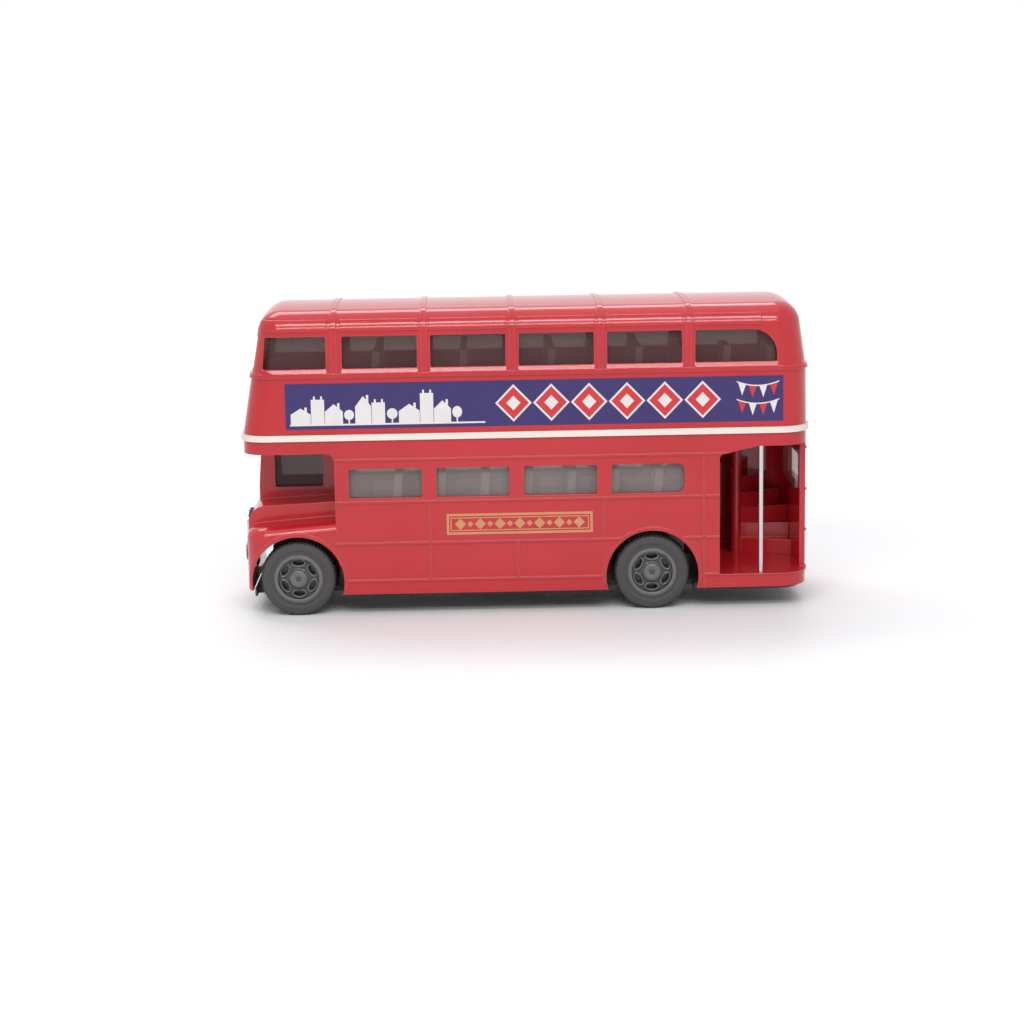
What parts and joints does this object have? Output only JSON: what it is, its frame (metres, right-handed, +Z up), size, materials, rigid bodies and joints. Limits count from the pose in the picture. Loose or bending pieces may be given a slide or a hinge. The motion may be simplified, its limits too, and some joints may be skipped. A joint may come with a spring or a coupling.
{
  "type": "toy double decker bus",
  "caption": "Die-cast toy double decker bus with a half cab, an open rear platform with a pole and winding stairs, and wheels that roll on steel axles.",
  "frame": {"origin": "on the ground under the middle of the bus", "axes": "+X is the front of the bus, +Y its nearside where the platform opens, +Z up"},
  "size_m": [0.1214, 0.036, 0.0663],
  "materials": {
    "red_enamel": "gloss red enamel over a zinc casting",
    "cream_plastic": "satin off-white moulding",
    "clear_plastic": "clear moulding, slightly smoked",
    "bright_plating": "bright plated",
    "lamp_silver": "bright plated lens and rim in one",
    "black_plastic": "fine grained black",
    "steel": "drawn steel pin and plated screws",
    "wheel_plastic": "dark grey glossy plastic",
    "tyre": "black, fine ribs across the tread"
  },
  "bodies": {
    "bus_body": {"upper_deck_casting": "red_enamel", "upper_deck_seats": "cream_plastic", "upper_glazing": "clear_plastic", "lower_deck_casting": "red_enamel", "lower_deck_seats": "cream_plastic", "lower_glazing": "clear_plastic", "rear_glazing": "clear_plastic", "cab_glazing": "clear_plastic", "staircase": "red_enamel", "platform_pole": "bright_plating", "radiator_grille": "bright_plating", "left_headlamp": "lamp_silver", "right_headlamp": "lamp_silver", "driver_seat": "cream_plastic", "base_plate": "black_plastic", "front_base_screw": "steel", "rear_base_screw": "steel"},
    "front_wheels": {"front_axle": "steel", "front_left_wheel": "wheel_plastic", "front_left_tyre": "tyre", "front_right_wheel": "wheel_plastic", "front_right_tyre": "tyre"},
    "rear_wheels": {"rear_axle": "steel", "rear_left_wheel": "wheel_plastic", "rear_left_tyre": "tyre", "rear_right_wheel": "wheel_plastic", "rear_right_tyre": "tyre"}
  },
  "joints": [
    {"name": "front_axle_spin", "type": "hinge", "parent": "bus_body", "child": "front_wheels", "pos_m": [0.0492, 0, 0.0081], "axis": [0, 1, 0], "continuous": true},
    {"name": "rear_axle_spin", "type": "hinge", "parent": "bus_body", "child": "rear_wheels", "pos_m": [-0.0266, 0, 0.0081], "axis": [0, 1, 0], "continuous": true}
  ]
}
